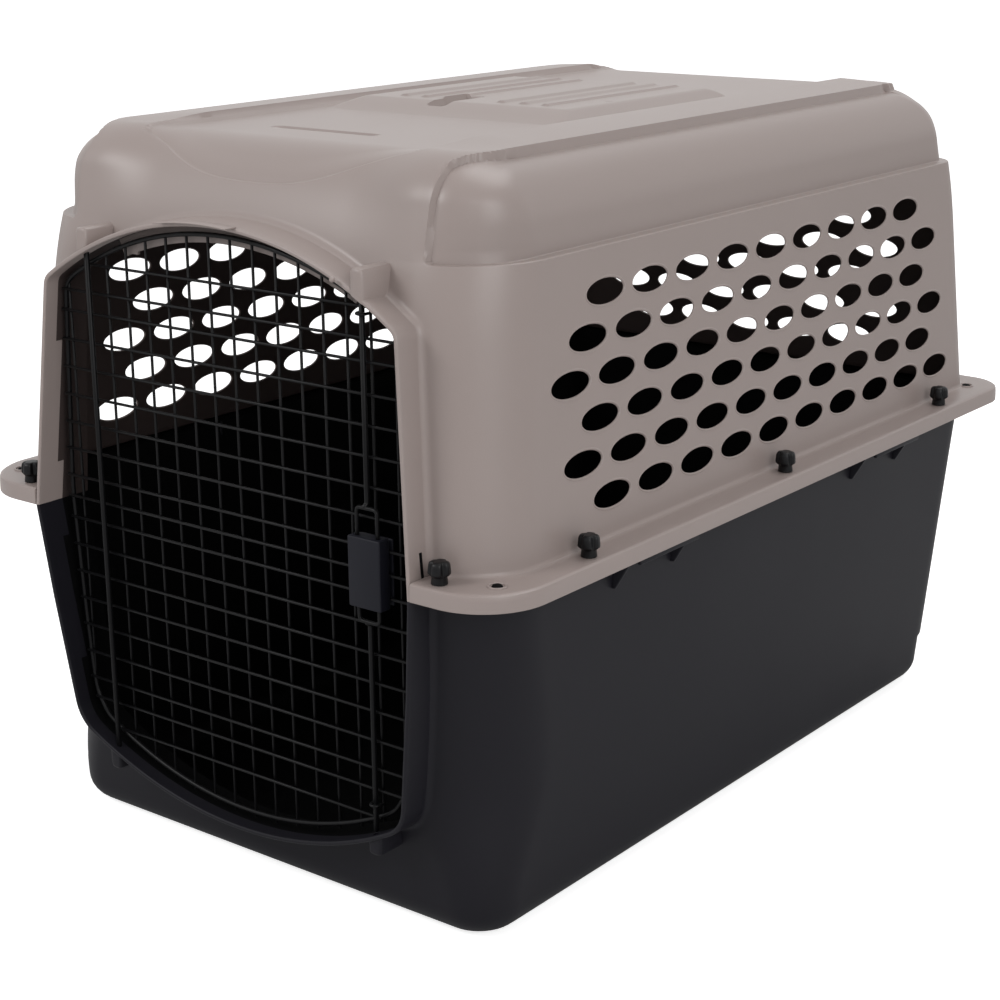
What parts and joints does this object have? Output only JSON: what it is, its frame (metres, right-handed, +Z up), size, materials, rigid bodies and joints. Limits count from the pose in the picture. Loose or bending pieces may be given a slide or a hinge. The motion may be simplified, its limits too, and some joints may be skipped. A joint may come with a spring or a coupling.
{
  "type": "pet transport carrier",
  "caption": "Rigid two-piece moulded pet transport carrier with a bolted flange, oval side vents, ribbed roof and a hinged wire grid door with a two-rod spring latch.",
  "frame": {"origin": "centre of the footprint, on the floor", "axes": "+Z up, -Y out of the door, +X to the right seen from the door"},
  "size_m": [0.624, 0.902, 0.662],
  "materials": {
    "shell_upper": "satin",
    "shell_lower": "satin",
    "wire": "satin",
    "black_plastic": "satin",
    "spring_steel": "satin",
    "bolt_steel": "satin"
  },
  "bodies": {
    "lower_shell": {"lower_shell": "shell_lower", "bolt_left_side_front": "bolt_steel", "bolt_left_side_middle": "bolt_steel", "bolt_left_side_rear": "bolt_steel", "bolt_right_side_front": "bolt_steel", "bolt_right_side_middle": "bolt_steel", "bolt_right_side_rear": "bolt_steel", "bolt_front_left": "bolt_steel", "bolt_front_right": "bolt_steel", "bolt_rear_left": "bolt_steel", "bolt_rear_right": "bolt_steel"},
    "upper_shell": {"upper_shell": "shell_upper"},
    "door": {"door_grid": "wire", "hinge_rod": "wire", "latch_cover": "black_plastic", "latch_back_plate": "black_plastic", "upper_rod_guide": "wire", "lower_rod_guide": "wire", "upper_latch_spring": "spring_steel", "lower_latch_spring": "spring_steel"},
    "upper_latch": {"upper_latch_rod": "wire"},
    "lower_latch": {"lower_latch_rod": "wire"},
    "nut_left_side_front": {"wing_nut_left_side_front": "black_plastic"},
    "nut_left_side_middle": {"wing_nut_left_side_middle": "black_plastic"},
    "nut_left_side_rear": {"wing_nut_left_side_rear": "black_plastic"},
    "nut_right_side_front": {"wing_nut_right_side_front": "black_plastic"},
    "nut_right_side_middle": {"wing_nut_right_side_middle": "black_plastic"},
    "nut_right_side_rear": {"wing_nut_right_side_rear": "black_plastic"},
    "nut_front_left": {"wing_nut_front_left": "black_plastic"},
    "nut_front_right": {"wing_nut_front_right": "black_plastic"},
    "nut_rear_left": {"wing_nut_rear_left": "black_plastic"},
    "nut_rear_right": {"wing_nut_rear_right": "black_plastic"}
  },
  "joints": [
    {"name": "upper_shell_lift", "type": "slide", "parent": "lower_shell", "child": "upper_shell", "axis": [0, 0, 1], "range_m": [0, 0.35]},
    {"name": "door_hinge", "type": "hinge", "parent": "lower_shell", "child": "door", "pos_m": [-0.1568, -0.4286, 0.33], "axis": [0, 0, -1], "range_deg": [0, 130]},
    {"name": "upper_latch_slide", "type": "slide", "parent": "door", "child": "upper_latch", "axis": [0, 0, 1], "range_m": [0, 0.012], "deforming": ["upper_latch_spring"]},
    {"name": "lower_latch_slide", "type": "slide", "parent": "door", "child": "lower_latch", "axis": [0, 0, -1], "range_m": [0, 0.012], "deforming": ["lower_latch_spring"]},
    {"name": "nut_spin_left_side_front", "type": "hinge", "parent": "upper_shell", "child": "nut_left_side_front", "pos_m": [-0.297, -0.312, 0.34], "axis": [0, 0, 1], "continuous": true},
    {"name": "nut_spin_left_side_middle", "type": "hinge", "parent": "upper_shell", "child": "nut_left_side_middle", "pos_m": [-0.297, 0, 0.34], "axis": [0, 0, 1], "continuous": true},
    {"name": "nut_spin_left_side_rear", "type": "hinge", "parent": "upper_shell", "child": "nut_left_side_rear", "pos_m": [-0.297, 0.312, 0.34], "axis": [0, 0, 1], "continuous": true},
    {"name": "nut_spin_right_side_front", "type": "hinge", "parent": "upper_shell", "child": "nut_right_side_front", "pos_m": [0.297, -0.312, 0.34], "axis": [0, 0, 1], "continuous": true},
    {"name": "nut_spin_right_side_middle", "type": "hinge", "parent": "upper_shell", "child": "nut_right_side_middle", "pos_m": [0.297, 0, 0.34], "axis": [0, 0, 1], "continuous": true},
    {"name": "nut_spin_right_side_rear", "type": "hinge", "parent": "upper_shell", "child": "nut_right_side_rear", "pos_m": [0.297, 0.312, 0.34], "axis": [0, 0, 1], "continuous": true},
    {"name": "nut_spin_front_left", "type": "hinge", "parent": "upper_shell", "child": "nut_front_left", "pos_m": [-0.243, -0.437, 0.34], "axis": [0, 0, 1], "continuous": true},
    {"name": "nut_spin_front_right", "type": "hinge", "parent": "upper_shell", "child": "nut_front_right", "pos_m": [0.243, -0.437, 0.34], "axis": [0, 0, 1], "continuous": true},
    {"name": "nut_spin_rear_left", "type": "hinge", "parent": "upper_shell", "child": "nut_rear_left", "pos_m": [-0.243, 0.437, 0.34], "axis": [0, 0, 1], "continuous": true},
    {"name": "nut_spin_rear_right", "type": "hinge", "parent": "upper_shell", "child": "nut_rear_right", "pos_m": [0.243, 0.437, 0.34], "axis": [0, 0, 1], "continuous": true}
  ],
  "couplings": [
    {"joint": "lower_latch_slide", "follows": "upper_latch_slide", "ratio": 1}
  ]
}
